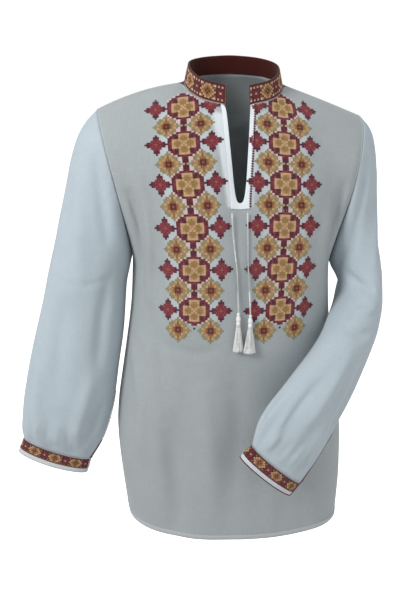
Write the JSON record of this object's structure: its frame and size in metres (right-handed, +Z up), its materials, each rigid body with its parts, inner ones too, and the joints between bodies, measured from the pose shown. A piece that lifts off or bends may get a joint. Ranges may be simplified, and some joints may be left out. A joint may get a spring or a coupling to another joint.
{
  "type": "folk shirt",
  "caption": "Men's white linen folk shirt with a standing collar, an open neck slit with hanging tasselled ties, an embroidered front, and full sleeves gathered into banded cuffs.",
  "frame": {"origin": "middle of the neck opening, level with the points where the shoulder seams meet the collar", "axes": "+Z up, the front faces -Y, +X towards the wearer's left"},
  "size_m": [0.6358, 0.3101, 0.8303],
  "materials": {
    "linen_body": "plain-woven linen, greyish white",
    "linen_sleeve": "plain-woven linen, cool white",
    "linen_facing": "white cotton binding",
    "embroidered_band": "linen covered with maroon, gold and brown cross-stitch",
    "tie_thread": "twisted white cotton"
  },
  "bodies": {
    "root": {"front": "linen_body", "back": "linen_body", "slit_facing": "linen_facing", "collar": "embroidered_band", "sleeve_right": "linen_sleeve", "cuff_right": "embroidered_band", "sleeve_left": "linen_sleeve", "cuff_left": "embroidered_band", "cord_right": "tie_thread", "tassel_right": "tie_thread", "cord_left": "tie_thread", "tassel_left": "tie_thread"}
  },
  "joints": []
}
